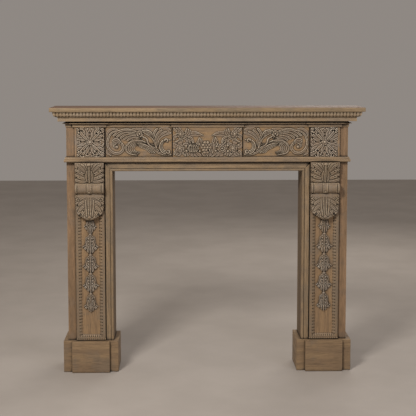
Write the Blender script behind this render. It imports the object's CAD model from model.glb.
"""The looks of a carved oak fireplace mantel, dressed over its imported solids.

Lengths are metres unless a name or docstring says millimetres. The mantel faces -Y, its back lies in the
plane y = 0.12, x = 0 is its centre line and +Z is up.
"""

from __future__ import annotations

import logging
import math
from collections.abc import Callable, Sequence
from dataclasses import dataclass, replace
from enum import Enum
from functools import partial

import bmesh
import bpy
import numpy as np
from mathutils import Matrix

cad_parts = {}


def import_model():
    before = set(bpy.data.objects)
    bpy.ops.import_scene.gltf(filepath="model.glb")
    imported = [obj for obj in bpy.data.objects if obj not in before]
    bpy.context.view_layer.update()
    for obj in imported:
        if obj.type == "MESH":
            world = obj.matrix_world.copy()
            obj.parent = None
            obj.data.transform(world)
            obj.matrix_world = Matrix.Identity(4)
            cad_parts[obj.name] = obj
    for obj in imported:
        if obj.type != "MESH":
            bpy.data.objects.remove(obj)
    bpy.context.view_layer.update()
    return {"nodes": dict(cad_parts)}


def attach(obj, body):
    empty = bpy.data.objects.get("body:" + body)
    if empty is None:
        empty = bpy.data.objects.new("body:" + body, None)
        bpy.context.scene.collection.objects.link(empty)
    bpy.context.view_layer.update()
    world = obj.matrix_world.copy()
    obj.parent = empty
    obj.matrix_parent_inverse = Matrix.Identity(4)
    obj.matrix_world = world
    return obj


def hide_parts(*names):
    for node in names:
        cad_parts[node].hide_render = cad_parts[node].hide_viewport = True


Array = np.ndarray
Piece = bpy.types.Object
Socket = bpy.types.NodeSocket
Point = tuple[float, float]
Points = Sequence[Point]
Station = Callable[[float, float], tuple[float, float, float]]

LOG = logging.getLogger("mantel")
MM = 0.001

# Room between a piece and what carries it, room at a mitre, and how near doubles lie to each other
GAP = 0.0003
MITRE_GAP = 0.0008
MERGE = 0.00002

# Sizes that several pieces share, the same as the solids'
WALL_Y = 0.120
BODY_DEPTH = 0.168
BODY_HALF = 0.683
OPENING_HALF = 0.461
OPENING_HEIGHT = 0.990
PLINTH_HEIGHT = 0.155
FOOT_TOP = 0.166
NECKING_BOTTOM = 1.035
FRIEZE_BOTTOM = 1.0585
FRIEZE_TOP = 1.203
FIELD_HEIGHT = 144.0
BLOCK_WIDTH = 142.0
PILASTER_X = 0.571
PILASTER_OUT = 0.014
RECESS_OUT = 0.006
ARRIS = 0.0022

# How many places in the timber's pattern the pieces are cut from, and how far apart these lie
PLACES = 5
PLACE_STEP = 0.9


class Grain(Enum):
    """Which way the fibres run, as how little a pattern is drawn out along each axis."""

    ACROSS = (0.06, 1.0, 1.0)
    UPRIGHT = (1.0, 1.0, 0.06)
    FROM_WALL = (1.0, 0.06, 1.0)


class Slot(Enum):
    """The record's material slots that new pieces use."""

    BOARDS = "washed_oak"
    CARVED = "carved_oak"


def front(out: float | Array) -> float | Array:
    """Gives the y of a point that stands out from the body's face."""
    return WALL_Y - BODY_DEPTH - out


# Materials


def linear(colour: str) -> tuple[float, ...]:
    """Turns an sRGB colour, given as six hex digits, to linear red, green and blue and an alpha of 1."""
    srgb = [int(colour[k:k + 2], 16) / 255 for k in (0, 2, 4)]
    return *(c / 12.92 if c <= 0.04045 else ((c + 0.055) / 1.055) ** 2.4 for c in srgb), 1.0


class Kind(Enum):
    """A kind of shader node: its type, the inputs it is given, the output that is used and its settings.

    Mix has its factor at input 0, its colours at 6 and 7 and the mixed colour at output 2.
    """

    PLACE = ("TexCoord", (), "Object", {})
    MOVE = ("Mapping", ("Vector", "Location"), 0, {})
    STRETCH = ("Mapping", ("Vector", "Scale"), 0, {})
    NOISE = ("TexNoise", ("Vector", "Scale", "Detail", "Roughness"), 0, {})
    RAMP = ("MapRange", ("Value", "From Min", "From Max", "To Max"), 0,
            {"interpolation_type": "SMOOTHSTEP"})
    ADD = ("Math", (0, 1), 0, {"operation": "ADD", "use_clamp": True})
    SUBTRACT = ("Math", (0, 1), 0, {"operation": "SUBTRACT", "use_clamp": True})
    MULTIPLY = ("Math", (0, 1), 0, {"operation": "MULTIPLY", "use_clamp": True})
    MIX = ("Mix", (0, 6, 7), 2, {"data_type": "RGBA"})
    NORMAL = ("NewGeometry", (), "Normal", {})
    UPWARD = ("SeparateXYZ", ("Vector",), "Z", {})
    CORNER = ("AmbientOcclusion", ("Distance",), "AO", {"samples": 8})
    ROUNDED = ("Bevel", ("Radius",), 0, {"samples": 6})
    ALIKE = ("VectorMath", (0, 1), "Value", {"operation": "DOT_PRODUCT"})
    BUMP = ("Bump", ("Height", "Strength", "Distance"), 0, {})
    MARK = ("Attribute", (), "Fac", {})


class Recipe:
    """A material while its nodes are put together.

    Attributes:
        made: The material.
        where: Object coordinates, moved so that neighbouring pieces differ.
    """

    def __init__(self, name: str, shift: float) -> None:
        """Starts a material.

        Args:
            name: Its name.
            shift: How far its patterns are moved.
        """
        self.made = bpy.data.materials.new(name)
        self.made.use_nodes = True
        self.where = self.add(Kind.MOVE, self.add(Kind.PLACE), (shift, 0.7 * shift, 1.3 * shift))

    def add(self, kind: Kind, *values: object, **settings: object) -> Socket:
        """Adds a node with its settings, values and links.

        Args:
            kind: The kind of node.
            *values: For each of its inputs a number, hex digits or an output to link.
            **settings: Its settings beside those of its kind.

        Returns:
            The output that is used.
        """
        name, inputs, result, shared = kind.value
        node = self.made.node_tree.nodes.new(f"ShaderNode{name}")
        for setting, value in {**shared, **settings}.items():
            setattr(node, setting, value)
        self.feed(node, dict(zip(inputs, values)))
        return node.outputs[result]

    def feed(self, node: bpy.types.Node, values: dict[str | int, object]) -> None:
        """Gives a node's inputs their values and links.

        Args:
            node: The node.
            values: For each input, by name or number, a number, hex digits or an output to link.
        """
        for key, value in values.items():
            if isinstance(value, Socket):
                self.made.node_tree.links.new(value, node.inputs[key])
            else:
                node.inputs[key].default_value = linear(value) if isinstance(value, str) else value

    def shaded(self, values: dict[str | int, object]) -> bpy.types.Material:
        """Gives the shader its values and hands the material over."""
        self.feed(self.made.node_tree.nodes["Principled BSDF"], values)
        return self.made


class Oak(Recipe):
    """Oak's own patterns.

    Attributes:
        fibre: Fine lines along the grain.
        streak: Broader bands along the grain.
        patch: Broad, uneven areas.
        speck: Small, uneven areas.
        pores: Open pores, 1 where one lies.
    """

    def __init__(self, name: str, shift: float, grain: Grain, finish: OakFinish) -> None:
        """Lays the patterns of a finish.

        Args:
            name: The material's name.
            shift: How far its patterns are moved.
            grain: The direction of the fibres.
            finish: The finish.
        """
        super().__init__(name, shift)
        drawn_out = self.add(Kind.STRETCH, self.where, grain.value)
        self.fibre = self.add(Kind.NOISE, drawn_out, 1 / (finish.fibre_mm * MM), 3.0, 0.55)
        self.streak = self.add(Kind.NOISE, drawn_out, 1 / (finish.streak_mm * MM), 4.0, 0.55)
        self.patch = self.add(Kind.NOISE, self.where, 1 / (finish.patch_mm * MM), 4.0, 0.62)
        self.speck = self.add(Kind.NOISE, self.where, 1 / (finish.speck_mm * MM), 4.0, 0.7)
        finer = self.add(Kind.NOISE, drawn_out, 1 / (0.6 * finish.fibre_mm * MM), 2.0, 0.55)
        self.pores = self.add(Kind.RAMP, finer, 0.58, 0.70)


@dataclass(frozen=True)
class OakFinish:
    """Old oak under a thin grey-brown wash that was brushed on and rubbed back.

    The wash lies in patches and dulls the timber, dirt stays in open pores and corners, and rubbing shows
    pale timber along edges. Planed oak is close to matt. Real pores are 0.3 mm wide and too fine to show,
    so fibre_mm draws them several times as coarse.
    """

    name: str
    timber: str
    pale: str
    wash: str
    rubbed: str
    upper: str = ""
    dirt: str = "170f08"
    wash_share: float = 0.45
    roughness: float = 0.62
    fibre_mm: float = 3.0
    speck_mm: float = 6.0
    streak_mm: float = 16.0
    patch_mm: float = 110.0
    corner_mm: float = 16.0
    corner_dark: float = 0.30
    dirt_share: float = 0.95
    bump_mm: float = 0.4
    carved: bool = False

    def material(self, grain: Grain, shift: float) -> bpy.types.Material:
        """Makes the finish with its fibres one way.

        Args:
            grain: The direction of the fibres.
            shift: How far the pattern is moved, so that neighbouring pieces differ.

        Returns:
            The material, which pieces with the same grain and shift share.
        """
        name = f"{self.name}_{grain.name.lower()}_{round(10 * shift)}"
        if name in bpy.data.materials:
            return bpy.data.materials[name]
        oak = Oak(name, shift, grain, self)
        oak.made.diffuse_color = linear(self.wash)
        colour = self.timber_colour(oak)
        colour = self.over_carving(oak, colour) if self.carved else self.over_edges(oak, colour)
        if self.upper:
            upward = oak.add(Kind.UPWARD, oak.add(Kind.NORMAL))
            colour = oak.add(Kind.MIX, oak.add(Kind.RAMP, upward, 0.3, 0.8), colour, self.upper)
        corner = oak.add(Kind.CORNER, self.corner_mm * MM)
        stain = oak.add(Kind.RAMP, corner, 0.88, self.corner_dark, self.dirt_share)
        colour = oak.add(Kind.MIX, stain, colour, self.dirt)
        relief = oak.add(Kind.SUBTRACT, oak.fibre, oak.add(Kind.MULTIPLY, oak.pores, 0.5))
        bump = oak.add(Kind.BUMP, relief, 0.6, self.bump_mm * MM)
        dull = oak.add(Kind.RAMP, oak.streak, 0.75, 0.25, 0.2)
        roughness = oak.add(Kind.ADD, dull, self.roughness - 0.1)
        return oak.shaded({"IOR": 1.45, "Base Color": colour, "Roughness": roughness, "Normal": bump})

    def timber_colour(self, oak: Oak) -> Socket:
        """Mixes flat timber's colour: streaked oak, patches of wash and dark pores.

        Args:
            oak: The patterns.

        Returns:
            The colour.
        """
        add, bare = oak.add, 0.4 * self.wash_share
        colour = add(Kind.MIX, add(Kind.RAMP, oak.streak, 0.34, 0.66), self.timber, self.pale)
        laid = add(Kind.RAMP, oak.patch, 0.62 - bare, 0.84 - bare)
        washed = add(Kind.ADD, laid, add(Kind.RAMP, oak.streak, 0.58, 0.40, 0.4))
        colour = add(Kind.MIX, add(Kind.MULTIPLY, washed, 0.8), colour, self.wash)
        colour = add(Kind.MIX, add(Kind.RAMP, oak.fibre, 0.54, 0.32, 0.30), colour, self.dirt)
        return add(Kind.MIX, add(Kind.MULTIPLY, oak.pores, 0.30), colour, self.dirt)

    def over_edges(self, oak: Oak, colour: Socket) -> Socket:
        """Rubs a board's edges back to pale timber.

        Args:
            oak: The patterns.
            colour: The timber's colour so far.

        Returns:
            The colour.
        """
        add = oak.add
        along = add(Kind.ALIKE, add(Kind.ROUNDED, ARRIS), add(Kind.NORMAL))
        edge, uneven = add(Kind.RAMP, along, 0.985, 0.85), add(Kind.RAMP, oak.speck, 0.36, 0.58, 0.8)
        return add(Kind.MIX, add(Kind.MULTIPLY, edge, uneven), colour, self.rubbed)

    def over_carving(self, oak: Oak, colour: Socket) -> Socket:
        """Lays wash over raised carving, pale timber on its ridges and dirt in its hollows.

        Args:
            oak: The patterns.
            colour: The timber's colour so far, which stays on the ground.

        Returns:
            The colour.
        """
        add = oak.add
        crest, ridge, hollow = (add(Kind.MARK, attribute_name=mark) for mark in ("crest", "ridge", "hollow"))
        broad = add(Kind.ADD, add(Kind.RAMP, oak.patch, 0.28, 0.60, 0.45), 0.50)
        small = add(Kind.ADD, add(Kind.RAMP, oak.speck, 0.40, 0.58, 0.55), 0.45)
        kept = add(Kind.MULTIPLY, broad, small)
        washed = add(Kind.MULTIPLY, add(Kind.RAMP, crest, 0.05, 0.25), kept)
        colour = add(Kind.MIX, washed, colour, self.wash)
        proud, uneven = add(Kind.RAMP, ridge, 0.12, 0.60), add(Kind.RAMP, oak.speck, 0.34, 0.60, 0.9)
        colour = add(Kind.MIX, add(Kind.MULTIPLY, proud, uneven), colour, self.rubbed)
        return add(Kind.MIX, add(Kind.RAMP, hollow, 0.08, 0.62, self.dirt_share), colour, self.dirt)


# Each finish gives its name, the timber and its pale streaks, the wash and the rubbed edges.
# Planed boards whose wash is mostly gone: warm ochre, with some dirt in the corners
STILES = OakFinish("ochre_oak", "86694a", "94775a", "7d6a56", "aa9072", wash_share=0.35, corner_dark=0.45)
# Planed mouldings: paler, with dirt that shades their deep lines softly
MOULDED = OakFinish("moulded_oak", "8e7659", "9f8769", "887764", "c2ab8a", corner_mm=34.0, corner_dark=0.50)
# The flat band under the carved one: the palest of the planed oak, shaded at its top
FASCIA = OakFinish("fascia_oak", "9a8263", "aa9272", "92816c", "c4ad8b", corner_mm=30.0)
# Cut with gouges: duller than planed oak, wash on the raised leaves, pale ridges and dark hollows
CARVED = OakFinish("carved_oak", "8f724f", "9d805c", "87796b", "cfc1aa", wash_share=0.25, roughness=0.68,
                   corner_dark=0.40, dirt_share=0.92, carved=True)
# The blocks' carving: greyer, and less dark in its corners
BLOCK_OAK = replace(CARVED, name="block_oak", timber="97795a", pale="a48866", wash="8f8478",
                    rubbed="d3c6b1", corner_dark=0.30)
# The corbels' carving: browner, with less dirt and duller ridges
CORBEL_OAK = replace(CARVED, name="corbel_oak", timber="8c714f", pale="997f5d", wash="837668",
                     rubbed="b6a68d", corner_dark=0.30, dirt_share=0.6)
# The husks' carving: a little paler and cleaner than the panels'
HUSK_OAK = replace(CARVED, name="husk_oak", timber="967855", pale="a48762", wash="8f857a", rubbed="cdc1af",
                   corner_dark=0.36, dirt_share=0.85)
# Planed plinth boards, scuffed: a little duller, in broader streaks, with less pale edges
SCUFFED = OakFinish("scuffed_oak", "876d50", "957c5d", "7d6c59", "a48c6b", wash_share=0.35, roughness=0.66,
                    streak_mm=26.0)
# Planed pilaster with carved borders: dirt lies in the borders and not on the flat
PILASTER_WOOD = OakFinish("pilaster_oak", "8f7150", "9b7f5e", "7c6d5b", "b09878", wash_share=0.25,
                          carved=True)
# Small carved leaves, much rubbed: the palest ridges, and dark only close to the cuts
LEAF_ROW = OakFinish("leaf_row_oak", "a08868", "ad9470", "ab9a84", "e6d4b3", wash_share=0.3, corner_mm=8.0,
                     dirt_share=0.8, carved=True)
# Planed shelf, its top dulled darker by dust and handling
SHELF_WOOD = OakFinish("shelf_oak", "8f7858", "9d8667", "86765f", "ab9678", upper="735847")
# Planed slips: like the boards, but greyer
SLIPS = OakFinish("slip_oak", "8b7354", "998265", "80705c", "b39d7e", corner_dark=0.45)
# The slip at the head: dirt lies broad and dark along it, close under the necking
HEAD_SLIP = replace(SLIPS, name="head_slip_oak", corner_mm=30.0, corner_dark=0.66)
# Sawn boards that don't face the room: darker and rougher than planed oak
SAWN = OakFinish("sawn_timber", "6f5b42", "7a664c", "64564a", "84705a", wash_share=0.2, roughness=0.80,
                 streak_mm=24.0)


# Modelling by operators


def put_down() -> None:
    """Leaves edit mode and deselects everything."""
    if bpy.context.mode != "OBJECT":
        bpy.ops.object.mode_set(mode="OBJECT")
    bpy.ops.object.select_all(action="DESELECT")


def taken_up(node: str) -> Piece:
    """Names the primitive just added after the node that it replaces.

    Args:
        node: The node's name.

    Returns:
        The primitive, which is still active.
    """
    piece = bpy.context.view_layer.objects.active
    piece.name = piece.data.name = f"{node}_finished"
    return piece


def close_piece(round_deg: float, fill: bool = False) -> None:
    """Merges the active piece's doubles, turns its faces outward and smooths all but its sharp edges.

    Args:
        round_deg: The largest angle between faces that is smoothed.
        fill: Whether openings that are left are filled.
    """
    bpy.ops.object.mode_set(mode="EDIT")
    bpy.ops.mesh.select_all(action="SELECT")
    bpy.ops.mesh.remove_doubles(threshold=MERGE)
    if fill:
        bpy.ops.mesh.select_all(action="SELECT")
        bpy.ops.mesh.fill_holes(sides=0)
        bpy.ops.mesh.select_all(action="SELECT")
    bpy.ops.mesh.normals_make_consistent(inside=False)
    bpy.ops.object.mode_set(mode="OBJECT")
    bpy.ops.object.shade_smooth_by_angle(angle=math.radians(round_deg))


def cut_board(node: str, low: Sequence[float], high: Sequence[float]) -> Piece:
    """Makes a board with eased edges.

    Args:
        node: The node that it replaces.
        low: Its lowest corner.
        high: Its highest corner.

    Returns:
        The board.
    """
    put_down()
    middle = [(a + b) / 2 for a, b in zip(low, high)]
    size = [b - a for a, b in zip(low, high)]
    bpy.ops.mesh.primitive_cube_add(size=1.0, location=middle, scale=size)
    piece = taken_up(node)
    bpy.ops.object.transform_apply(location=True, rotation=True, scale=True)
    bpy.ops.object.mode_set(mode="EDIT")
    bpy.ops.mesh.select_all(action="SELECT")
    bpy.ops.mesh.bevel(offset=ARRIS, segments=3, affect="EDGES")
    close_piece(round_deg=40)
    return piece


def run_moulding(node: str, profile: Points, stations: Sequence[Station]) -> Piece:
    """Extrudes a profile from station to station.

    Args:
        node: The node that the moulding replaces.
        profile: The profile's points, each how far it stands out and how high it is.
        stations: Functions from a profile point to x, y and z, in order along the moulding.

    Returns:
        The moulding.
    """
    put_down()
    bpy.ops.mesh.primitive_circle_add(vertices=len(profile), fill_type="NGON", enter_editmode=True)
    piece = taken_up(node)
    drawn = bmesh.from_edit_mesh(piece.data)
    order = drawn.verts.layers.int.new("order")
    for number, vert in enumerate(drawn.verts):
        vert[order] = number
    for number, station in enumerate(stations):
        if number:
            bpy.ops.mesh.extrude_region_move()
        drawn = bmesh.from_edit_mesh(piece.data)
        order = drawn.verts.layers.int["order"]
        for vert in drawn.verts:
            if vert.select:
                vert.co = station(*profile[vert[order]])
        bmesh.update_edit_mesh(piece.data)
    close_piece(round_deg=35)
    piece.data.attributes.remove(piece.data.attributes["order"])
    return piece


def lay_sheet(node: str, place: Sequence[Array], marks: dict[str, Array]) -> Piece:
    """Lays a fine grid over given points.

    Args:
        node: The node that the piece replaces.
        place: The points' x, y and z, each by row and column.
        marks: Named values for each point, which the material reads.

    Returns:
        The open sheet.
    """
    put_down()
    points = np.stack(place, axis=-1)
    rows, columns = points.shape[:2]
    bpy.ops.mesh.primitive_grid_add(x_subdivisions=columns - 1, y_subdivisions=rows - 1, size=1.0)
    piece = taken_up(node)
    piece.data.vertices.foreach_set("co", np.ascontiguousarray(points, np.float32).ravel())
    for name, values in marks.items():
        mark = piece.data.attributes.new(name, "FLOAT", "POINT")
        mark.data.foreach_set("value", np.ascontiguousarray(values, np.float32).ravel())
    piece.data.update()
    return piece


def back_sheet(back: float) -> None:
    """Takes the active sheet's rim straight back to a plane and fills it there.

    Args:
        back: The plane's y.
    """
    bpy.ops.object.mode_set(mode="EDIT")
    bpy.ops.mesh.select_mode(type="EDGE")
    bpy.ops.mesh.select_all(action="DESELECT")
    bpy.ops.mesh.select_non_manifold()
    bpy.ops.mesh.extrude_region_move()
    bpy.ops.transform.resize(value=(1, 0, 1), center_override=(0, back, 0))
    bpy.ops.mesh.edge_face_add()
    bpy.ops.mesh.select_mode(type="VERT")
    close_piece(round_deg=50)


def pattern_shift(node: str) -> float:
    """Gives a node one of a few places in the timber's pattern, always the same one."""
    return PLACE_STEP * (sum(map(ord, node)) % PLACES)


def fit(piece: Piece, slot: Slot, finish: OakFinish, grain: Grain, paired: bool = False) -> None:
    """Dresses a piece and puts it in the place of its node.

    Args:
        piece: The piece, named after its node.
        slot: The record's material slot.
        finish: The finish.
        grain: The direction of the fibres.
        paired: Whether a mirrored copy with its own mesh does the same on the right.
    """
    pieces = [piece]
    if paired:
        copy = piece.copy()
        copy.data = piece.data.copy()
        copy.name = copy.data.name = piece.name.replace("left", "right")
        bpy.context.scene.collection.objects.link(copy)
        copy.data.transform(Matrix.Scale(-1, 4, (1, 0, 0)))
        copy.data.flip_normals()
        pieces.append(copy)
    for piece in pieces:
        node = piece.name.removesuffix("_finished")
        piece.data.materials.clear()
        piece.data.materials.append(finish.material(grain, pattern_shift(node)))
        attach(piece, "root")
        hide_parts(node)
        LOG.info("%s: %d faces of %s", piece.name, len(piece.data.polygons), finish.name)


# Lines and relief that the carving is made of, in millimetres


def ease(x: Array) -> Array:
    """Eases 0 to 1, and keeps to 0 below and 1 above."""
    x = np.clip(x, 0.0, 1.0)
    return x * x * (3.0 - 2.0 * x)


def bend(*points: Point) -> Array:
    """Draws a smooth line through a few points.

    Args:
        *points: The points that it passes through, with ten short runs between two of them.

    Returns:
        The line's points, a row each.
    """
    p = np.array(points, float)
    p = np.vstack([2 * p[0] - p[1], p, 2 * p[-1] - p[-2]])
    t = np.linspace(0.0, 1.0, 10, endpoint=False)[:, None]
    runs = []
    for a, b, c, d in zip(p, p[1:], p[2:], p[3:]):
        square, cube = 2 * a - 5 * b + 4 * c - d, 3 * b - a - 3 * c + d
        runs.append(0.5 * (2 * b + (c - a) * t + square * t**2 + cube * t**3))
    return np.vstack([*runs, p[-2:-1]])


def scroll(centre: Point, start: float, turn: float, first: float, last: float) -> Array:
    """Draws an arc or spiral.

    Args:
        centre: The point that it goes round.
        start: The angle at which it starts, in degrees.
        turn: How far it turns, in degrees, anticlockwise if positive.
        first: Its first radius.
        last: Its last radius.

    Returns:
        The line's points, a row each.
    """
    a = np.radians(np.linspace(start, start + turn, 36))
    r = np.linspace(first, last, len(a))
    return np.column_stack([centre[0] + r * np.cos(a), centre[1] + r * np.sin(a)])


def placed(*points: Point, origin: Point, across: float = 1.0, up: float = 1.0) -> list[Point]:
    """Moves points to an origin, mirrored or drawn out by a factor along each axis."""
    return [(origin[0] + across * u, origin[1] + up * v) for u, v in points]


def evenly(path: Array) -> Array:
    """Spaces a line's points evenly.

    Args:
        path: The line.

    Returns:
        The same line with thirty points.
    """
    run = np.concatenate([[0.0], np.cumsum(np.hypot(*np.diff(path, axis=0).T))])
    at = np.linspace(0.0, run[-1], 30)
    return np.column_stack([np.interp(at, run, path[:, 0]), np.interp(at, run, path[:, 1])])


def averaged(height: Array, reach: int) -> Array:
    """Averages a grid of heights over the points within reach.

    Args:
        height: The heights.
        reach: How many points that is, along rows and along columns.

    Returns:
        The averaged heights.
    """
    window = np.full(2 * reach + 1, 1 / (2 * reach + 1))
    for axis in (0, 1):
        lines = np.moveaxis(height, axis, -1)
        wide = np.pad(lines, ((0, 0), (reach, reach)), mode="edge")
        height = np.moveaxis(np.array([np.convolve(line, window, "valid") for line in wide]), -1, axis)
    return height


def relief_marks(rise: Array, reach: int) -> dict[str, Array]:
    """Works out what the material reads: how raised, how proud and how sunk each point is, from 0 to 1.

    Args:
        rise: The height above the ground, in millimetres.
        reach: How many points of the grid the surroundings take in.

    Returns:
        The three marks by name.
    """
    full_crest, full_ridge = 9.0, 2.5
    proud = (rise - averaged(averaged(rise, reach), reach)) / full_ridge
    marks = {"crest": rise / full_crest, "ridge": proud, "hollow": -proud}
    return {name: np.clip(mark, 0.0, 1.0) for name, mark in marks.items()}


def cut_down(height: Array, away: Array) -> Array:
    """Cuts heights down round a form, deepest beside it at 0 away and not at all from 1 away."""
    return height * (0.15 + 0.85 * ease(away))


class Relief:
    """Carving over a flat field: the height above the ground at each point, in millimetres.

    Attributes:
        u: How far along the field each point is.
        v: How far up the field each point is.
        h: Each point's height.
    """

    def __init__(self, u: Array, v: Array) -> None:
        """Starts with bare ground at the points u, v."""
        self.u, self.v = u, v
        self.h = np.zeros(u.shape)

    def lay(self, inside: Array, height: Array, moat: float = 2.0) -> None:
        """Lays a form where inside is above 0, and cuts what is there down round it, a moat wide."""
        self.h = np.where(inside > 0, height, cut_down(self.h, -inside / moat))

    def band(self, path: Array, widths: Sequence[float], crest: float, rims: float = 0.45,
             moat: float = 2.0) -> None:
        """Lays a stem, scroll or leaf lobe along a line, with a fine vein along its middle.

        Args:
            path: The line.
            widths: Its widths from one end to the other, evenly spaced.
            crest: Its height.
            rims: How far its middle is hollowed, 0 for round.
            moat: How wide the cut round it is.
        """
        w = np.array(widths, float) / 2
        reach = w.max() + 2 * moat + 1
        low, high = path.min(0) - reach, path.max(0) + reach
        near = (self.u > low[0]) & (self.u < high[0]) & (self.v > low[1]) & (self.v < high[1])
        u, v = self.u[near], self.v[near]
        length = np.hypot(*np.diff(path, axis=0).T)
        run = np.concatenate([[0.0], np.cumsum(length)])
        best = np.full(u.shape, 1e9)
        t = np.zeros(u.shape)
        for k, (dx, dy) in enumerate(np.diff(path, axis=0)):
            x, y = u - path[k, 0], v - path[k, 1]
            f = np.clip((x * dx + y * dy) / max(length[k] ** 2, 1e-9), 0.0, 1.0)
            d = np.hypot(x - f * dx, y - f * dy)
            t = np.where(d < best, (run[k] + f * length[k]) / run[-1], t)
            best = np.minimum(d, best)
        half = np.interp(t, np.linspace(0, 1, len(w)), w)
        q = np.clip(best / half, 0, 1)
        vein = 1 - 0.42 * np.exp(-((best / 1.2) ** 2)) * ease(half - 4)
        rise = crest * np.sqrt(1 - 0.93 * q**2) * (1 - 0.4 * rims * (1 - q**2)) * vein
        moats = moat * (0.5 + 1.2 * t)
        self.h[near] = np.where(best < half, rise, cut_down(self.h[near], (best - half) / moats))

    def plume(self, outer: Points, inner: Points, streaks: int, crest: float, full: float = 1.2,
              drop: float = 0.3) -> None:
        """Lays a flowing leaf: long lobes side by side between two lines, the outer one on top.

        Args:
            outer: Points of the line that the outer lobe follows.
            inner: Points of the line that the inner lobe follows.
            streaks: How many lobes there are.
            crest: The outer lobe's height.
            full: How wide a lobe is beside its spacing.
            drop: How much lower the inner lobe is, as a share.
        """
        a, b = evenly(bend(*outer)), evenly(bend(*inner))
        gap = np.hypot(*(a - b).T) / max(streaks - 1, 1)
        t = np.linspace(0, 1, len(a))
        taper = np.minimum(0.45 + 2.2 * t, 1.0) * np.sqrt(1.06 - t**3)
        widths = np.maximum(gap * full, 2.5) * taper
        for k in reversed(range(streaks)):
            f = k / max(streaks - 1, 1)
            self.band(a * (1 - f) + b * f, widths[::3], crest * (1 - drop * f))

    def flower(self, centre: Point, radius: float, crest: float, petals: int = 6, turn: float = 0.0,
               rings: int = 1, eye: float = 0.28) -> None:
        """Lays a flower seen from the front.

        Args:
            centre: Its middle.
            radius: Its radius.
            crest: Its height.
            petals: How many petals a ring has.
            turn: How far it is turned, in radians of half a petal.
            rings: How many rings of petals it has.
            eye: Its eye's radius as a share of its own.
        """
        r, a = self.away(centre), np.arctan2(self.v - centre[1], self.u - centre[0])
        for ring in range(rings):
            size = radius * (1 - 0.36 * ring)
            wave = np.abs(np.cos(petals / 2 * a + turn + ring * math.pi / 2)) ** 0.6
            edge = size * (0.78 + 0.22 * wave)
            q = np.clip(r / edge, 0, 1)
            cup = (0.55 + 0.45 * q**2) * np.sqrt(1 - 0.9 * q**6)
            self.lay(edge - r, crest * (0.75 + 0.22 * ring) * cup * (0.72 + 0.28 * wave))
        self.ball(centre, radius * eye, crest * 1.1, 0.7)

    def ball(self, centre: Point, radius: float, crest: float, low: float = 0.3) -> None:
        """Lays a berry, fruit, bead or button, whose edge has a low share of its crest's height."""
        dome = np.sqrt(np.clip(1 - (self.away(centre) / radius) ** 2, 0, 1))
        self.lay(radius - self.away(centre), crest * (low + (1 - low) * dome), 1.2)

    def drill(self, centre: Point, radius: float, depth: float = 1.0) -> None:
        """Drills an eye to a depth below the ground."""
        hole = ease((radius * 1.35 - self.away(centre)) / (radius * 0.5))
        self.h = self.h * (1 - hole) - depth * hole

    def away(self, centre: Point) -> Array:
        """Gives each point's distance from a centre."""
        return np.hypot(self.u - centre[0], self.v - centre[1])


def leaf_row(along: Array, across: Array, pitch: float, depth: float) -> Array:
    """Cuts a moulding into a row of ribbed leaves with a dart between each two.

    Args:
        along: The distance along the moulding, in millimetres.
        across: 0 at the leaves' tips to 1 at their tops.
        pitch: The width of one leaf and one dart.
        depth: How deep the cuts between them are.

    Returns:
        How far each point is cut below the moulding's surface.
    """
    unit = np.floor(along / pitch)
    aside = np.abs(along - (unit + 0.5) * pitch)
    wander = 1 + 0.05 * np.sin(7.3 * unit + 2.1 * np.sin(3.7 * unit))
    swell = np.sin(math.pi * np.clip(0.06 + 0.6 * across, 0.0, 0.62)) ** 0.7
    half = 0.44 * pitch * swell * wander
    q = np.clip(aside / half, 0.0, 1.0)
    leaf = depth * (0.28 * np.exp(-(((q - 0.5) / 0.22) ** 2)) + 0.5 * q**6)
    dart = depth * np.clip(0.35 + 0.22 * (0.5 * pitch - aside), 0.0, 1.0)
    between = np.where(across < 0.62, dart, depth)
    edge = ease((half - aside) / (0.06 * pitch) + 0.5)
    return leaf * edge + between * (1 - edge)


def gouge_marks(u: Array, v: Array) -> Array:
    """Leaves the shallow facets of a gouge, a seventh of a millimetre deep."""
    return 0.14 * np.sin(0.55 * u + 1.7 * np.sin(0.21 * v)) * np.sin(0.48 * v + 1.3 * np.sin(0.17 * u))


# Carved pieces


@dataclass(frozen=True)
class Carving:
    """A piece that is carved on its face: u runs along it and v up it, in millimetres.

    Attributes:
        node: The node that it replaces.
        width: Its greatest width.
        height: Its height.
        start_x: The x of u = 0, in metres.
        start_z: The z of v = 0, in metres.
        out: How far its ground stands out from the body, in metres.
        back: How far its back stands out from the body, in metres.
        run: 1 where u runs towards +X, -1 where it runs the other way.
        step: The grid's step.
        rim: The height that is left along its outline, as a share.
        mark_reach: How far round a point the material looks, to tell ridges from hollows.
    """

    node: str
    width: float
    height: float
    start_x: float
    start_z: float
    out: float
    back: float = GAP
    run: int = 1
    step: float = 1.0
    rim: float = 1.0
    mark_reach: float = 2.4

    def half_width(self, v: Array) -> Array:
        """Gives half the width at each height."""
        return np.full(np.shape(v), self.width / 2)

    def form(self, u: Array, v: Array) -> Array:
        """Gives the form that the carving lies on, above its ground."""
        return np.zeros(np.shape(u))

    def carve(self, r: Relief) -> None:
        """Cuts the carving."""

    def grid(self) -> tuple[Array, Array]:
        """Spreads the grid's points.

        Returns:
            The points' u and v, by row and column.
        """
        columns, rows = round(self.width / self.step), round(self.height / self.step)
        across, v = np.meshgrid(np.linspace(-1, 1, columns + 1), np.linspace(0, self.height, rows + 1))
        return self.width / 2 + across * self.half_width(v), v

    def build(self) -> Piece:
        """Carves the piece.

        Returns:
            The piece, a closed solid with a flat back.
        """
        u, v = self.grid()
        relief = Relief(u, v)
        self.carve(relief)
        rise = relief.h + gouge_marks(u, v) + self.form(u, v)
        marks = relief_marks(rise, max(1, round(self.mark_reach / self.step)))
        rise[[0, -1], :] *= self.rim
        rise[:, [0, -1]] *= self.rim
        place = self.start_x + self.run * u * MM, front(self.out) - rise * MM, self.start_z + v * MM
        piece = lay_sheet(self.node, place, marks)
        back_sheet(front(self.back))
        return piece


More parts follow.
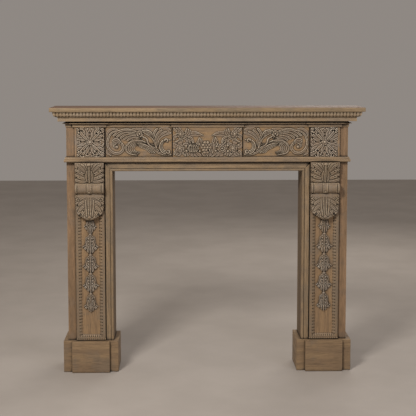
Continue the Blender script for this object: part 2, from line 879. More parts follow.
@dataclass(frozen=True)
class FriezePanel(Carving):
    """Running acanthus from the outer end of the frieze: a scroll, a second curl, a bud and a crescent."""

    def carve(self, r: Relief) -> None:
        """Cuts small leaves first, then scrolls and stems over them.

        Args:
            r: The relief.
        """
        r.plume([(250, 118), (268, 136), (300, 138), (314, 130)],
                [(256, 112), (276, 124), (300, 126), (313, 122)], 2, 5)
        r.plume([(108, 128), (140, 136), (176, 134)], [(118, 122), (140, 126), (158, 124)], 2, 4.5)
        r.plume([(6, 96), (10, 120), (34, 136), (56, 134)],
                [(14, 96), (20, 112), (36, 124), (50, 126)], 2, 5)
        r.plume([(6, 40), (6, 20), (24, 7)], [(12, 40), (14, 26), (28, 14)], 2, 5)
        # leaves that stand up beyond the stems
        r.plume([(236, 50), (230, 92), (236, 120), (248, 136)],
                [(250, 50), (256, 84), (278, 106), (312, 116)], 4, 8, 1.0)
        self.outer_scroll(r)
        # the second curl, whose lobes run round into a crescent
        r.plume([(236, 62), (206, 66), (168, 80), (126, 76), (98, 48), (108, 20), (150, 9)],
                [(232, 58), (204, 58), (176, 62), (148, 60), (134, 46), (140, 28), (164, 22)], 5, 8.5)
        r.plume([(146, 66), (182, 62), (214, 46), (238, 18)],
                [(150, 58), (176, 46), (198, 36), (214, 20)], 4, 8.5)
        self.bud(r)
        self.crescent(r)

    def outer_scroll(self, r: Relief) -> None:
        """Cuts the scroll at the outer end and the great leaf that arches over it.

        Args:
            r: The relief.
        """
        r.plume([(174, 80), (164, 110), (126, 130), (76, 129), (38, 104)],
                [(170, 76), (160, 88), (146, 90), (132, 84), (122, 76)], 6, 9, 1.3)
        turns = bend((70, 130), (28, 116), (9, 80), (13, 44), (38, 20), (68, 21), (85, 44), (72, 68),
                     (50, 68), (40, 54), (50, 44))
        r.band(turns, (7, 10, 11, 12, 13, 15, 16, 15, 13, 12, 9), 8.5, 0.5)
        r.plume([(74, 70), (60, 86), (44, 88), (32, 80)], [(70, 62), (56, 72), (44, 72), (34, 66)], 3, 7)
        r.ball((52, 48), 8, 8.5)
        r.drill((68, 56), 2.6)

    def bud(self, r: Relief) -> None:
        """Cuts the stems and the bud between them.

        Args:
            r: The relief.
        """
        stem = bend((262, 20), (240, 40), (218, 52), (203, 68), (197, 88), (176, 100))
        r.band(stem, (9, 10, 9, 8, 8, 6), 7.5, 0.3)
        r.band(bend((244, 44), (238, 66), (228, 88), (210, 104), (190, 112)), (8, 10, 11, 9, 5), 8, 0.4)
        r.plume([(236, 84), (220, 118), (196, 130), (172, 126)],
                [(228, 92), (214, 108), (200, 116), (186, 114)], 3, 8)
        r.band(scroll((163, 112), -70, 300, 13, 11), (8, 11, 11, 8), 8.5, 0.4)
        r.ball((163, 112), 5.5, 8)
        r.drill((178, 116), 3.2)

    def crescent(self, r: Relief) -> None:
        """Cuts the crescent at the inner end.

        Args:
            r: The relief.
        """
        r.band(bend((222, 46), (248, 24), (280, 13), (312, 12)), (8, 12, 13, 9), 7.5, 0.4)
        r.plume(scroll((296, 50), 66, 214, 36, 36)[::7],
                scroll((296, 52), 100, 170, 27, 24)[::7], 3, 9.5, 1.25)
        r.band(scroll((292, 78), 170, -230, 10, 5), (7, 9, 8, 6), 9, 0.2)
        r.band(scroll((301, 27), 200, 330, 10, 4), (8, 8, 5), 8, 0.2)
        r.ball((301, 27), 3.4, 7)


@dataclass(frozen=True)
class FriezeTablet(Carving):
    """A garland of fruit and flowers across the middle, with a flower and leaves in each upper corner."""

    def carve(self, r: Relief) -> None:
        """Cuts the leaves first, then the fruit and flowers over them.

        Args:
            r: The relief.
        """
        self.corner(r, 0.0, 1)
        self.corner(r, self.width, -1)
        # leaves round the middle of the garland
        r.plume([(112, 26), (122, 14), (134, 6)], [(96, 24), (92, 12), (98, 6)], 3, 7)
        r.plume([(212, 26), (200, 14), (188, 7)], [(232, 24), (236, 12), (228, 7)], 3, 7)
        r.plume([(150, 24), (150, 12), (156, 6)], [(182, 24), (182, 12), (178, 6)], 3, 7)
        r.plume([(114, 56), (122, 76), (128, 94)], [(134, 50), (138, 70), (140, 86)], 3, 7.5)
        r.plume([(216, 58), (212, 78), (204, 96)], [(196, 50), (194, 70), (192, 88)], 3, 7.5)
        r.plume([(196, 70), (200, 44), (190, 18)], [(184, 64), (188, 44), (180, 24)], 2, 8)
        # bunch of grapes
        for row, count in enumerate((2, 3, 4, 3, 2)):
            for k in range(count):
                u = 161 + 13.5 * (k - (count - 1) / 2) + 2 * math.sin(3 * row)
                r.ball((u, 70 - 12 * row), 7.6, 9.5 + 2 * math.sin(2.4 * row + 1.7 * k))
        r.flower((34, 42), 22, 10, petals=5, rings=2, turn=0.5)
        r.ball((97, 42), 23, 9.5, 0.45)
        r.plume([(86, 22), (76, 42), (88, 64)], [(110, 22), (119, 42), (106, 64)], 5, 11.5, 1.1, 0.0)
        r.flower((238, 42), 25, 9.5, petals=9, rings=3, turn=0.3, eye=0.2)
        r.flower((291, 42), 21, 10, petals=5, rings=2)
        for berry in ((64, 54), (66, 30), (128, 62), (129, 28), (211, 52), (206, 30), (265, 56), (266, 28),
                      (318, 58)):
            r.ball(berry, 6, 9)
        for eye in ((57, 20), (30, 20), (74, 28), (122, 30), (172, 33), (268, 44), (284, 22), (312, 30),
                    (216, 72)):
            r.drill(eye, 2.8)

    def corner(self, r: Relief, near: float, far: int) -> None:
        """Cuts one end of the tablet.

        Args:
            r: The relief.
            near: The u of that end.
            far: 1 where the middle lies at greater u, else -1.
        """
        at = partial(placed, origin=(near, 0.0), across=far)
        # ribbon tail towards the middle, then leaves round the corner flower
        r.plume(at((66, 110), (100, 119), (124, 115), (148, 104)),
                at((70, 96), (100, 107), (122, 106), (144, 102)), 2, 6)
        r.plume(at((46, 104), (62, 122), (68, 138)), at((58, 98), (78, 112), (84, 130)), 3, 7)
        r.plume(at((58, 104), (88, 92), (98, 68)), at((48, 92), (66, 84), (72, 64)), 3, 7.5)
        r.plume(at((34, 96), (28, 82), (8, 70)), at((44, 92), (46, 80), (40, 66)), 4, 7)
        r.plume(at((22, 100), (10, 96), (5, 84)), at((22, 108), (8, 106), (3, 96)), 2, 6)
        r.plume(at((24, 122), (12, 130), (6, 138)), at((38, 126), (34, 136), (28, 140)), 3, 6.5)
        r.flower(at((36, 112))[0], 20, 9, rings=2)
        for eye in at((24, 110), (56, 120), (72, 92), (88, 74), (50, 66)):
            r.drill(eye, 2.8)
        # leaves under the end of the garland
        r.plume(at((28, 30), (12, 26), (6, 12)), at((40, 24), (34, 14), (24, 6)), 3, 7)
        r.plume(at((44, 26), (56, 14), (62, 6)), at((60, 34), (76, 22), (84, 10)), 3, 7)
        r.plume(at((28, 50), (12, 54), (6, 64)), at((40, 60), (34, 66), (30, 68)), 2, 6)
        r.plume(at((48, 54), (60, 62), (72, 66)), at((58, 46), (72, 52), (80, 60)), 2, 6.5)


@dataclass(frozen=True)
class CornerBlock(Carving):
    """Four lobed leaves from a button to the corners, drilled eyes among them and a plain outer margin.

    Attributes:
        middle: The button's u.
        margin: The width of the plain margin at the outer edge.
        lobes: A leaf's lobes, each its line from the button outward, its widths and its height.
        eyes: The drilled eyes, each how far inward from the button and how high.
    """

    middle: float = 69.0
    margin: float = 12.0
    lobes: Sequence[tuple[Points, Sequence[float], float]] = (
        (((14, 20), (12, 40), (20, 56), (8, 66)), (10, 16, 14, 8), 7.5),
        (((20, 14), (40, 12), (56, 20), (66, 8)), (10, 16, 14, 8), 7.5),
        (((26, 28), (28, 50), (42, 66), (30, 70)), (10, 16, 14, 8), 8.5),
        (((28, 26), (50, 28), (66, 40), (68, 28)), (10, 16, 14, 8), 8.5),
        (((11, 11), (34, 34), (50, 54), (62, 64), (66, 54), (58, 48)), (8, 15, 17, 14, 11, 8), 10))
    eyes: Points = (
        (0, 119), (0, 102), (-36, 127), (-48, 126), (34, 115), (52, 129), (60, 113),
        (-43, 77), (-22, 74), (44, 75), (60, 92), (19, 76),
        (0, 30), (-34, 30), (34, 30), (-12, 14), (12, 12), (26, 20), (-38, 8), (40, 8), (-1, 54))

    def carve(self, r: Relief) -> None:
        """Cuts a leaf to each corner, lowest lobes first, then the eyes and the button.

        Args:
            r: The relief.
        """
        cu, cv = self.middle, self.height / 2
        r.h += 2.4
        for across, up in ((1, 1), (1, -1), (-1, -1), (-1, 1)):
            at = partial(placed, origin=(cu, cv), across=across, up=up)
            # buds on the axes, then the side lobes of a leaf, its rib and its curled tip
            r.band(bend(*at((4, 16), (10, 34), (4, 50))), (7, 12, 9), 6.0, 0.5)
            r.band(bend(*at((16, 4), (34, 9), (50, 4))), (7, 12, 9), 6.0, 0.5)
            for line, widths, crest in self.lobes:
                r.band(bend(*at(*line)), widths, crest, 0.5, 2.6)
            r.ball(at((53, 47))[0], 5.5, 10)
        for u, v in self.eyes:
            r.drill((cu - u, v), 3.6, 2.0)
        r.flower((cu, cv), 16, 9)
        r.ball((cu, cv), 7, 11, 0.5)
        r.h *= ease((self.width - self.margin - r.u) / 3 + 1)


@dataclass(frozen=True)
class Corbel(Carving):
    """Two leaves that swell to a rolled tip, one above and one below a scroll that lies across.

    Attributes:
        scroll_low: The v of the scroll's lower edge.
        scroll_high: The v of its upper edge.
        eyes: For each pair of drilled eyes how far aside it is, how high, and its radius.
    """

    scroll_low: float = 131.0
    scroll_high: float = 181.0
    eyes: Sequence[tuple[float, float, float]] = (
        (43, 30, 5.5), (58, 74, 3.6), (29, 48, 2.8), (50, 100, 2.6), (25, 224, 3.0),
        (46, 212, 2.4), (44, 238, 2.6), (62, 210, 3.0), (60, 234, 3.0), (54, 256, 3.0))

    def half_width(self, v: Array) -> Array:
        """Gives a straight side with notches between the lobes, narrow at its foot.

        Args:
            v: The heights.

        Returns:
            Half the width at each.
        """
        half = np.interp(v, (0, 6, 14, 24, 34, 46, 120, 281), (10, 20, 30, 46, 60, 68, 70, 70.5))
        for notch in (48, 75, 99, 130, 182, 210, 232, 253):
            half -= 5.5 * np.exp(-(((v - notch) / 3.4) ** 2))
        return half

    def form(self, u: Array, v: Array) -> Array:
        """Gives the swell of the leaves and the round of the scroll.

        Args:
            u: How far along each point is.
            v: How far up.

        Returns:
            The form's height at each point.
        """
        offset = np.abs(u - self.width / 2)
        across = np.clip(offset / (self.width / 2), 0, 1)
        upper = np.interp(v, (183, 200, 230, 255, 270, 278, 282), (9, 11, 18, 27, 31, 29, 22))
        lower = np.interp(v, (0, 6, 14, 24, 60, 100, 128), (12, 20, 25, 24, 15, 9, 8))
        middle = (self.scroll_low + self.scroll_high) / 2
        leaves = np.where(v > middle, upper, lower) * (1 - 0.5 * across**2)
        pods = 0.80 + 0.20 * np.sin(math.pi * np.clip((offset - 13) / 45, 0, 1)) ** 0.6
        pods = np.where(offset < 12, 0.97, np.where(offset > 60, 0.92, pods))
        roll = 10 + 24 * pods * np.sqrt(np.clip(1 - ((v - middle) / 25.5) ** 2, 0, 1))
        return np.where((v > self.scroll_low) & (v < self.scroll_high), roll, leaves)

    def carve(self, r: Relief) -> None:
        """Cuts both leaves and their curled tips, then clears the scroll and straps it.

        Args:
            r: The relief.
        """
        centre = self.width / 2
        r.h += 2.5
        self.lobes(r, 17, ((10, 192, 42, 188, 70, 198), (10, 200, 42, 208, 70, 222),
                           (9, 214, 38, 230, 67, 247), (8, 228, 30, 252, 57, 271)))
        self.lobes(r, 12, ((6, 240, 18, 258, 36, 276), (5, 250, 9, 264, 17, 276)))
        self.lobes(r, 11, ((11, 188, 15, 212, 10, 240),))
        r.band(bend((centre, 186), (centre, 230), (centre, 264)), (9, 14, 12), 9, 0.2)
        r.ball((centre, 273), 9, 9, 0.5)
        self.lobes(r, 13, ((44, 122, 58, 120, 70, 112), (46, 108, 60, 102, 70, 92),
                           (50, 90, 62, 82, 70, 70), (46, 68, 58, 56, 64, 46)))
        self.lobes(r, 15, ((22, 112, 40, 108, 54, 96), (22, 92, 40, 86, 56, 72), (22, 72, 38, 62, 53, 46),
                           (20, 52, 32, 40, 42, 22)))
        r.band(bend((centre, 100), (centre, 60), (centre, 22)), (10, 22, 16), 5.0, 0.8)
        for u in (-18, 18, -6, 6):
            flute = bend((centre + 1.1 * u, 116 - abs(u)), (centre + u, 60), (centre + 0.7 * u, 22))
            r.band(flute, (8, 0.3 * abs(u) + 4, 7), 6.0 + 0.1 * abs(u), 0.4)
        r.band(scroll((centre, 32), 205, 130, 27, 27), (7, 11, 12, 11, 7), 7.5, 0.2, 3.0)
        r.ball((centre, 17), 9, 6, 0.5)
        lip = ease((r.v - 108) / 5) * (r.v < self.scroll_low) * (np.abs(r.u - centre) < 58)
        r.h = r.h * (1 - lip) + 5.5 * lip
        r.h = np.where((r.v > self.scroll_low) & (r.v < self.scroll_high), 0.0, r.h)
        for side in (-1, 1):
            for out, wide in ((9, 4), (54, 3), (62, 5)):
                u = centre + side * out
                r.band(bend((u, self.scroll_low), (u, self.scroll_high)), (wide, wide), 2.2, 0)
            for u, v, radius in self.eyes:
                r.drill((centre + side * u, v), radius, 4.0)
        r.ball((centre, 135), 7, 6, 0.4)

    def lobes(self, r: Relief, wide: float, lines: Sequence[Sequence[float]]) -> None:
        """Cuts a leaf's lobes on both sides.

        Args:
            r: The relief.
            wide: Their greatest width.
            lines: For each lobe three points, each how far aside and how high.
        """
        for line in lines:
            for side in (-1, 1):
                at = placed(*zip(line[::2], line[1::2]), origin=(self.width / 2, 0.0), across=side)
                r.band(bend(*at), (0.5 * wide, wide, wide, 0.6 * wide), 7.0, 0.5, 3.0)


@dataclass(frozen=True)
class Drop(Carving):
    """Five husks that hang one below another.

    Attributes:
        husks: For each husk the v of its crown, of its side petals' tips and of its own tip, and half its
            spread.
    """

    husks: Sequence[tuple[float, float, float, float]] = (
        (478, 424, 387, 31.0), (382, 324, 288, 40.4), (281, 228, 194, 40.4), (187, 132, 97, 40.4),
        (88, 29, 1, 36.0))

    def half_width(self, v: Array) -> Array:
        """Gives bells that flare to their side petals and slope in below them.

        Args:
            v: The heights.

        Returns:
            Half the width at each.
        """
        half = np.full(np.shape(v), 4.5)
        for top, wing, tip, spread in self.husks:
            turns = (tip, tip + 7, tip + 15, wing - 11, wing, wing + 6, wing + 14, top - 14, top - 3,
                     top + 8)
            shape = np.interp(v, turns, (3, 12, 20, 30, 40, 32, 26, 23, 11, 6)) * spread / 40
            half = np.maximum(half, np.where((v < tip) | (v > top + 8), 0, shape))
        return half

    def form(self, u: Array, v: Array) -> Array:
        """Gives a low round across the drop."""
        across = np.clip(np.abs(u - self.width / 2) / np.maximum(self.half_width(v), 1), 0, 1)
        return 2.2 + 2.2 * (1 - across**2)

    def carve(self, r: Relief) -> None:
        """Cuts each husk's lobes from the top down, then its eyes, its rib and the berry above it.

        Args:
            r: The relief.
        """
        centre = self.width / 2
        r.h += 3.5
        for top, wing, tip, spread in self.husks:
            fall, rest = top - wing, wing - tip
            for side in (-1, 1):
                at = partial(placed, origin=(centre, 0.0), across=side * spread / centre)
                outer = at((4, top - 2), (19, top - 0.3 * fall), (23, wing + 14), (41, wing - 1))
                r.band(bend(*outer), (7, 14, 15, 8), 7.5, 0.5)
                inner = at((3, top - 8), (10, top - 0.4 * fall), (18, wing + 2), (30, wing - 0.4 * rest))
                r.band(bend(*inner), (7, 14, 17, 10), 8, 0.5)
                middle = at((3, wing + 12), (9, wing - 0.35 * rest), (13, tip + 6))
                r.band(bend(*middle), (7, 15, 9), 8.5, 0.5)
                for berry in at((8, top - 0.30 * fall), (9, top - 0.55 * fall), (9, top - 0.80 * fall)):
                    r.ball(berry, 4.4, 8.5)
                for eye in at((15, top - 0.40 * fall), (24, wing + 2), (20, wing - 0.45 * rest)):
                    r.drill(eye, 2.2, -1.0)
            rib = bend((centre, top - 4), (centre, (top + tip) / 2), (centre, tip + 1))
            r.band(rib, (6, 11, 6), 9, 0.2)
            r.ball((centre, top + 3), 6.0, 9.5, 0.5)


@dataclass(frozen=True)
class PilasterFace(Carving):
    """A sunk field in a border whose inner edge is a rounded row of leaves.

    Attributes:
        sunk_half: Half the sinking's width.
        sunk_low: The v of its foot.
        sunk_high: The v of its top, behind the corbel.
        edge: The width of the carved edge at the sides.
        foot_edge: Its width at the foot.
        sunk_depth: The depth of the sinking.
        side_pitch: The width of a leaf at the sides.
        foot_pitch: The width of a leaf at the foot.
        cut: How deep the leaves are cut.
    """

    sunk_half: float = 41.0
    sunk_low: float = 19.7
    sunk_high: float = 617.7
    edge: float = 17.0
    foot_edge: float = 13.0
    sunk_depth: float = 8.0
    side_pitch: float = 15.6
    foot_pitch: float = 10.4
    cut: float = 4.6

    def grid(self) -> tuple[Array, Array]:
        """Spreads the points, close on the carved edge and wide where the corbel hides the face.

        Returns:
            The points' u and v, by row and column.
        """
        half, border = self.width / 2, self.sunk_half + self.edge
        side = np.concatenate([np.linspace(half, border + 1, 4), np.linspace(border, self.sunk_half, 15)])
        across = np.concatenate([-side, np.linspace(-self.sunk_half, self.sunk_half, 33)[1:-1], side[::-1]])
        carved = np.linspace(0, self.sunk_high, round(self.sunk_high / self.step) + 1)
        up = np.concatenate([carved, np.linspace(self.sunk_high + 0.5, self.height, 12)])
        offset, v = np.meshgrid(across, up)
        return half + offset, v

    def carve(self, r: Relief) -> None:
        """Rounds the edge from the sinking up to the border and cuts its leaves.

        Args:
            r: The relief.
        """
        offset = r.u - self.width / 2
        side = (np.abs(offset) - self.sunk_half) / self.edge
        foot = (self.sunk_low - r.v) / self.foot_edge
        rise = np.clip(np.maximum(side, foot), 0.0, 1.0)
        cut_side = leaf_row(r.v, rise, self.side_pitch, self.cut)
        cut_foot = leaf_row(offset + 100 * self.foot_pitch, rise, self.foot_pitch, self.cut)
        cut = np.where(side > foot, cut_side, cut_foot) * ((rise > 0) & (rise < 1))
        r.h = self.sunk_depth * np.sin(0.5 * math.pi * rise) - cut * np.minimum(1.0, 4 * rise)
        r.h = np.where(r.v > self.sunk_high, self.sunk_depth, r.h)


@dataclass(frozen=True)
class FootRail(Carving):
    """The small carved roll between a pilaster and its plinth."""

    proud: float = 4.0
    pitch: float = 10.4
    cut: float = 3.4

    def carve(self, r: Relief) -> None:
        """Rounds the roll and cuts its leaves.

        Args:
            r: The relief.
        """
        up = r.v / self.height
        r.h = self.proud * np.sqrt(np.clip(1 - (2 * up - 1) ** 2, 0.06, 1.0))
        r.h -= leaf_row(r.u, up, self.pitch, self.cut)


# Sub-assemblies


@dataclass(frozen=True)
class Frieze:
    """The five carved fields planted on the lintel: a tablet, two panels and two corner blocks."""

    base: float = FRIEZE_BOTTOM + GAP
    tablet_half: float = 0.1675
    tablet_out: float = 0.010
    panel_inner: float = 0.1735
    panel_width: float = 318.0
    panel_out: float = 0.005
    block_inner: float = 0.4995
    block_out: float = 0.008

    def build(self) -> None:
        """Carves the fields and fits them."""
        tablet = FriezeTablet("frieze_tablet", 2 * self.tablet_half / MM, FIELD_HEIGHT, -self.tablet_half,
                              self.base, self.tablet_out)
        fit(tablet.build(), Slot.CARVED, CARVED, Grain.ACROSS)
        outer_end = -(self.panel_inner + self.panel_width * MM)
        panel = FriezePanel("frieze_panel_left", self.panel_width, FIELD_HEIGHT, outer_end, self.base,
                            self.panel_out)
        fit(panel.build(), Slot.CARVED, CARVED, Grain.ACROSS, paired=True)
        block = CornerBlock("corner_block_left", BLOCK_WIDTH, FIELD_HEIGHT, -self.block_inner, self.base,
                            self.block_out, run=-1)
        fit(block.build(), Slot.CARVED, BLOCK_OAK, Grain.UPRIGHT, paired=True)


@dataclass(frozen=True)
class Pilasters:
    """A pilaster on each jamb, with a corbel at its top, a drop in its sinking and a rail at its foot."""

    width: float = 140.0
    face_step: float = 1.4
    corbel_bottom: float = 0.7523
    corbel_height: float = 281.5
    corbel_step: float = 1.15
    drop_bottom: float = 0.2965
    drop_half: float = 40.4
    drop_height: float = 452.0
    rail_overlap: float = 1.5

    def build(self) -> None:
        """Carves the left pilaster's pieces, copies them to the right and fits them all."""
        bottom = FOOT_TOP + GAP
        height = (NECKING_BOTTOM - GAP - bottom) / MM
        left = -(PILASTER_X + self.width / 2 * MM)
        face = PilasterFace("pilaster_left", self.width, height, left, bottom, RECESS_OUT,
                            step=self.face_step)
        fit(face.build(), Slot.BOARDS, PILASTER_WOOD, Grain.UPRIGHT, paired=True)
        corbel = Corbel("corbel_left", BLOCK_WIDTH, self.corbel_height, BLOCK_WIDTH / 2 * MM - PILASTER_X,
                        self.corbel_bottom, PILASTER_OUT, PILASTER_OUT + GAP, -1, self.corbel_step, 0.5)
        fit(corbel.build(), Slot.CARVED, CORBEL_OAK, Grain.UPRIGHT, paired=True)
        drop = Drop("drop_left", 2 * self.drop_half, self.drop_height, self.drop_half * MM - PILASTER_X,
                    self.drop_bottom, RECESS_OUT, RECESS_OUT + GAP, -1, rim=0.6)
        fit(drop.build(), Slot.CARVED, HUSK_OAK, Grain.UPRIGHT, paired=True)
        rail = FootRail("pilaster_foot_left", self.width + 2 * self.rail_overlap,
                        (FOOT_TOP - PLINTH_HEIGHT - GAP) / MM, left - self.rail_overlap * MM,
                        PLINTH_HEIGHT + GAP, PILASTER_OUT)
        fit(rail.build(), Slot.BOARDS, PILASTER_WOOD, Grain.ACROSS, paired=True)


def arc(centre: Point, size: Point, start: float, stop: float, steps: int = 8) -> list[Point]:
    """Draws an elliptical arc of a profile between two angles in degrees, 0 straight out and 90 up."""
    turns = np.radians(np.linspace(start, stop, steps))
    return [(centre[0] + size[0] * math.cos(a), centre[1] + size[1] * math.sin(a)) for a in turns]


def corner(side: int, lateral: float = 1.0, gap: float = 0.0) -> Station:
    """Makes the station at a corner, moved back by a gap, whose return stands out by a lateral share."""
    return lambda out, z: (side * (BODY_HALF + lateral * out), front(out) + gap, z)


def at_wall(side: int, lateral: float = 1.0) -> Station:
    """Makes the station where a return meets the wall, as corner does."""
    return lambda out, z: (side * (BODY_HALF + lateral * out), WALL_Y, z)


def at_break(x: float, side: int, proud: float) -> Station:
    """Makes a station where a moulding steps forward or back, proud of its run by so much."""
    return lambda out, z: (x + side * out, front(out + (0.0 if out == GAP else proud)), z)


@dataclass(frozen=True)
class Cornice:
    """The shelf and the mouldings under it, and the necking below the frieze."""

    shelf_half: float = 0.755
    shelf_top: float = 1.300
    bed_top: float = 1.2325
    fascia_top: float = 1.2525
    ovolo_top: float = 1.2795
    fascia_out: float = 0.036
    ovolo_foot_out: float = 0.041
    ovolo_out: float = 0.059
    bed_out: float = 0.0165
    necking_out: float = 0.027
    necking_side_out: float = 0.010
    block_edge: float = 0.647
    panel_edge: float = 0.492
    tablet_edge: float = 0.172
    block_break: float = 0.010
    panel_break: float = 0.005
    leaf_pitch: float = 16.0
    leaf_cut: float = 4.2
    leaf_step: float = 1.34

    def build(self) -> None:
        """Makes the shelf and each moulding and fits them."""
        shelf = cut_board("shelf", (-self.shelf_half, -WALL_Y, self.ovolo_top + GAP),
                          (self.shelf_half, WALL_Y, self.shelf_top))
        fit(shelf, Slot.BOARDS, SHELF_WOOD, Grain.ACROSS)
        self.plain_run("cornice_fascia", self.fascia_profile(), FASCIA)
        self.plain_run("necking", self.necking_profile(), MOULDED, self.necking_side_out / self.necking_out)
        self.plain_run("bed_mould", self.bed_profile(), MOULDED, breaks=self.bed_breaks())
        self.ovolo()

    def plain_run(self, node: str, profile: Points, finish: OakFinish, lateral: float = 1.0,
                  breaks: Sequence[Station] = ()) -> None:
        """Runs a moulding across the front and back to the wall at each end.

        Args:
            node: The start of its nodes' names.
            profile: Its profile.
            finish: Its finish.
            lateral: How far its returns stand out beside the front.
            breaks: Stations where it steps forward or back.
        """
        stations = [corner(-1, lateral), *breaks, corner(1, lateral)]
        fit(run_moulding(f"{node}_front", profile, stations), Slot.BOARDS, finish, Grain.ACROSS)
        back = run_moulding(f"{node}_left", profile, [corner(-1, lateral, MITRE_GAP), at_wall(-1, lateral)])
        fit(back, Slot.BOARDS, finish, Grain.FROM_WALL, paired=True)

    def fascia_profile(self) -> list[Point]:
        """Draws a flat band with a rounded lower edge.

        Returns:
            The profile's points.
        """
        low, radius = self.bed_top + GAP, 0.0018
        edge = arc((self.fascia_out - radius, low + radius), (radius, radius), -90, 0, 5)
        return [(GAP, low), *edge, (self.fascia_out, self.fascia_top), (GAP, self.fascia_top)]

    def necking_profile(self) -> list[Point]:
        """Draws a rounded step, a flat band and a cove up to the frieze.

        Returns:
            The profile's points.
        """
        low, high = NECKING_BOTTOM + GAP, FRIEZE_BOTTOM
        step = arc((0.0225, low + 0.0028), (0.0028, 0.0028), -90, 0, 5)
        band = [(self.necking_out, low + 0.004), (self.necking_out, low + 0.0115)]
        cove = arc((0.0255, high - 0.001), (0.011, 0.0098), -90, -180, 8)
        return [(GAP, low), *step, *band, *cove, (0.0145, high), (GAP, high)]

    def bed_profile(self) -> list[Point]:
        """Draws a flat foot, a cove with a lip and a deep quirk.

        Returns:
            The profile's points.
        """
        low, high = FRIEZE_TOP + GAP, self.bed_top
        foot = arc((0.002, low + 0.002), (0.002, 0.002), -90, 0, 4)
        edge = arc((0.0022, low + 0.0094), (0.0018, 0.0018), 0, 90, 4)
        cove = arc((self.bed_out, low + 0.012), (0.0135, 0.006), 180, 90, 8)
        quirk = [(self.bed_out, low + 0.020), (0.002, low + 0.021), (0.002, high)]
        return [(GAP, low), *foot, *edge, *cove, *quirk, (GAP, high)]

    def bed_breaks(self) -> list[Station]:
        """Places the steps by which the bed mould breaks forward over the carved fields.

        Returns:
            The stations, two at each step.
        """
        inward = (0.0, self.block_break, self.panel_break, self.block_break)
        outs = (*inward, *inward[2::-1])
        edges = (-self.block_edge, -self.panel_edge, -self.tablet_edge)
        stations = []
        for x, before, after in zip((*edges, *(-x for x in reversed(edges))), outs, outs[1:]):
            side = -1 if after > before else 1
            stations += [at_break(x, side, before), at_break(x, side, after)]
        return stations

    def ovolo(self) -> None:
        """Carves the quarter round under the shelf, across the front and along both returns."""
        reach = BODY_HALF + self.ovolo_out
        out, z, along, marks = self.cut_ovolo(2 * reach)
        x = np.clip(along - reach, -BODY_HALF - out, BODY_HALF + out)
        across = lay_sheet("cornice_ovolo_front", (x, front(out), z), marks)
        close_piece(round_deg=50, fill=True)
        fit(across, Slot.CARVED, LEAF_ROW, Grain.ACROSS)
        out, z, along, marks = self.cut_ovolo(BODY_DEPTH + self.ovolo_out)
        y = np.maximum(WALL_Y - along, front(out) + MITRE_GAP)
        back = lay_sheet("cornice_ovolo_left", (-BODY_HALF - out, y, z), marks)
        close_piece(round_deg=50, fill=True)
        fit(back, Slot.CARVED, LEAF_ROW, Grain.FROM_WALL, paired=True)

    def cut_ovolo(self, length: float) -> tuple[Array, Array, Array, dict[str, Array]]:
        """Works out the carved quarter round's surface.

        Args:
            length: The moulding's length.

        Returns:
            How far out, how high and how far along each point is, and the material's marks.
        """
        low, high = self.fascia_top + GAP, self.ovolo_top
        # the carved run of the profile, between two plain points and three
        carved = slice(2, -3)
        depth, tall = self.ovolo_out - self.ovolo_foot_out, 0.84 * (high - low)
        curve = np.array(arc((self.ovolo_foot_out, high - 0.1 * (high - low)), (depth, tall), -90, 0, 22))
        turn = np.radians(np.linspace(-90, 0, len(curve)))
        outward = np.column_stack([np.cos(turn) / depth, np.sin(turn) / tall])
        outward /= np.hypot(*outward.T)[:, None]
        ends = [(self.ovolo_out, high), (GAP, high), (GAP, low)]
        line = np.vstack([(GAP, low), (self.ovolo_foot_out, low), curve, *ends])
        rows = round(length / MM / self.leaf_step)
        along = np.linspace(0.0, length / MM, rows + 1)[:, None] * np.ones(len(line))
        cut = leaf_row(along[:, carved], np.linspace(0, 1, len(curve)), self.leaf_pitch, self.leaf_cut)
        profile = np.repeat(line[None], rows + 1, axis=0)
        profile[:, carved] -= cut[..., None] * MM * outward
        height = np.zeros(along.shape)
        height[:, carved] = self.leaf_cut - cut
        return profile[..., 0], profile[..., 1], along * MM, relief_marks(height, reach=2)


@dataclass(frozen=True)
class OpeningFrame:
    """The beaded slips planted round the opening, mitred at its corners."""

    side_width: float = 0.0345
    head_height: float = 0.0443
    flat_out: float = 0.008
    bead_width: float = 0.0125
    bead_foot: float = 0.0055
    bead_rise: float = 0.004
    groove: float = 0.0012
    edge: float = 0.0005

    def profile(self) -> list[Point]:
        """Draws a side slip's bead at the opening, a groove and a flat.

        Returns:
            Points, each how far across the slip and how far out.
        """
        half, flat = self.bead_width / 2, self.bead_width + self.groove
        bead = arc((half, self.bead_foot), (half, self.bead_rise), 180, 0, 13)
        edge = [(flat, self.bead_foot), (flat, self.flat_out - self.edge)]
        face = [(flat + self.edge, self.flat_out), (self.side_width, self.flat_out), (self.side_width, GAP)]
        return [(0, GAP), *bead, *edge, *face]

    def build(self) -> None:
        """Makes the three slips and fits them."""
        side = run_moulding("slip_left", self.profile(), [
            lambda across, out: (-OPENING_HALF - across, front(out), PLINTH_HEIGHT + GAP),
            lambda across, out: (-OPENING_HALF - across, front(out), OPENING_HEIGHT + across - MITRE_GAP)])
        fit(side, Slot.BOARDS, SLIPS, Grain.UPRIGHT, paired=True)
        turned = [*self.profile()[:-1], (self.head_height, self.flat_out), (self.head_height, GAP),
                  (self.side_width, GAP)]
        ends = [partial(self.head_end, side) for side in (-1, 1)]
        fit(run_moulding("slip_head", turned, ends), Slot.BOARDS, HEAD_SLIP, Grain.ACROSS)

    def head_end(self, side: int, up: float, out: float) -> tuple[float, float, float]:
        """Gives a profile point's place at an end of the head, mitred up to the side's width."""
        return side * (OPENING_HALF + min(up, self.side_width)), front(out), OPENING_HEIGHT + up


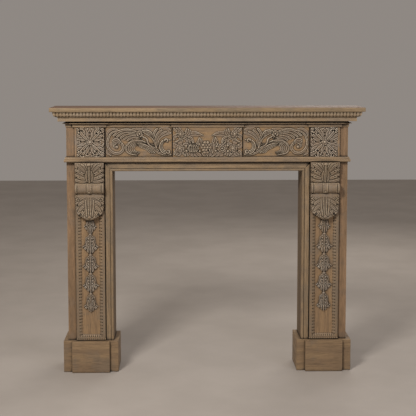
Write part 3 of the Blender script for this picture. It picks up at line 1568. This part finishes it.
@dataclass(frozen=True)
class PlainBoards:
    """The boards whose solids stay: the boxed legs and lintel, their hidden reveals and the plinths."""

    def dress(self, nodes: dict[str, Piece]) -> None:
        """Gives each board its finish.

        Args:
            nodes: The frame's nodes by name.
        """
        sided = {
            "frieze_end": (STILES, Grain.UPRIGHT), "jamb_side": (STILES, Grain.UPRIGHT),
            "jamb_board": (STILES, Grain.UPRIGHT), "reveal_board": (SAWN, Grain.UPRIGHT),
            "plinth_front": (SCUFFED, Grain.ACROSS), "plinth_block": (SCUFFED, Grain.ACROSS),
            "plinth_outer": (SCUFFED, Grain.FROM_WALL), "plinth_inner": (SCUFFED, Grain.FROM_WALL),
        }
        finishes = {f"{name}_{side}": pair for name, pair in sided.items() for side in ("left", "right")}
        finishes |= {"frieze_board": (STILES, Grain.UPRIGHT), "reveal_head": (SAWN, Grain.ACROSS)}
        for name, (finish, grain) in finishes.items():
            nodes[name].material_slots[0].material = finish.material(grain, pattern_shift(name))
            LOG.info("%s: solid kept, dressed in %s", name, finish.name)


@dataclass(frozen=True)
class Studio:
    """A pale floor, soft lights and the camera at the photograph's angle.

    Attributes:
        frame_px: The photograph's width and height.
        focal_px: The lens's focal length in those pixels.
        level_px: The row of pixels that the lens's axis meets.
        eye: The camera's place.
        tilt_deg: How far it looks down.
        turn_deg: How far it looks to the right.
        aim: The point on the mantel that the lights face.
    """

    frame_px: float = 416.0
    focal_px: float = 1000.0
    level_px: float = 156.0
    eye: tuple[float, float, float] = (-0.1125, -4.88, 1.512)
    tilt_deg: float = 5.313
    turn_deg: float = 1.36
    aim: tuple[float, float, float] = (0.0, 0.0, 0.7)

    def build(self) -> None:
        """Sets up the camera, the lights and the floor."""
        scene = bpy.context.scene
        scene.view_settings.view_transform = "Standard"
        put_down()
        turn = (math.radians(90 - self.tilt_deg), 0.0, math.radians(-self.turn_deg))
        bpy.ops.object.camera_add(location=self.eye, rotation=turn)
        camera = bpy.context.object
        camera.data.sensor_width = 36.0
        camera.data.lens = camera.data.sensor_width * self.focal_px / self.frame_px
        camera.data.shift_y = (self.level_px - self.frame_px / 2) / self.frame_px
        scene.camera = camera
        self.light("key", (-1.6, -3.4, 3.5), 0.9, 142.0, "fffaf4")
        self.light("fill", (2.4, -3.4, 2.6), 2.2, 30.0, "f4f6ff")
        self.light("back", (1.4, 3.0, 2.8), 2.4, 40.0, "fff8f0")
        world = bpy.data.worlds.new("soft_daylight")
        world.use_nodes = True
        sky = world.node_tree.nodes["Background"]
        sky.inputs["Color"].default_value = linear("e2d8d0")
        sky.inputs["Strength"].default_value = 0.36
        scene.world = world
        self.floor()

    def light(self, name: str, place: tuple[float, float, float], size: float, power: float,
              tint: str) -> None:
        """Adds a square soft light that points at the mantel.

        Args:
            name: Its name.
            place: Where it stands.
            size: The length of its sides.
            power: Its power in watts.
            tint: Its colour, in hex digits.
        """
        ray = np.array(self.aim) - np.array(place)
        turn = (math.acos(-ray[2] / np.linalg.norm(ray)), 0.0, math.atan2(-ray[0], ray[1]))
        bpy.ops.object.light_add(type="AREA", location=place, rotation=turn)
        lamp = bpy.context.object
        lamp.name = lamp.data.name = name
        lamp.data.size = size
        lamp.data.energy = power
        lamp.data.color = linear(tint)[:3]

    def floor(self) -> None:
        """Lays a plain floor of pale, matt sealed concrete, faintly mottled."""
        put_down()
        bpy.ops.mesh.primitive_plane_add(size=16.0)
        floor = bpy.context.object
        floor.name = floor.data.name = "floor"
        concrete = Recipe("sealed_concrete", 0.0)
        uneven = concrete.add(Kind.NOISE, concrete.where, 1 / (400.0 * MM), 5.0, 0.55)
        colour = concrete.add(Kind.MIX, concrete.add(Kind.RAMP, uneven, 0.3, 0.7), "ada59d", "b5ada5")
        floor.data.materials.append(concrete.shaded({"Base Color": colour, "Roughness": 0.75}))


def main() -> None:
    """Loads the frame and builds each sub-assembly in turn."""
    logging.basicConfig(level=logging.INFO, format="%(name)s: %(message)s")
    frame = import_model()
    Studio().build()
    PlainBoards().dress(frame["nodes"])
    OpeningFrame().build()
    Pilasters().build()
    Frieze().build()
    Cornice().build()


if __name__ == "__main__":
    main()
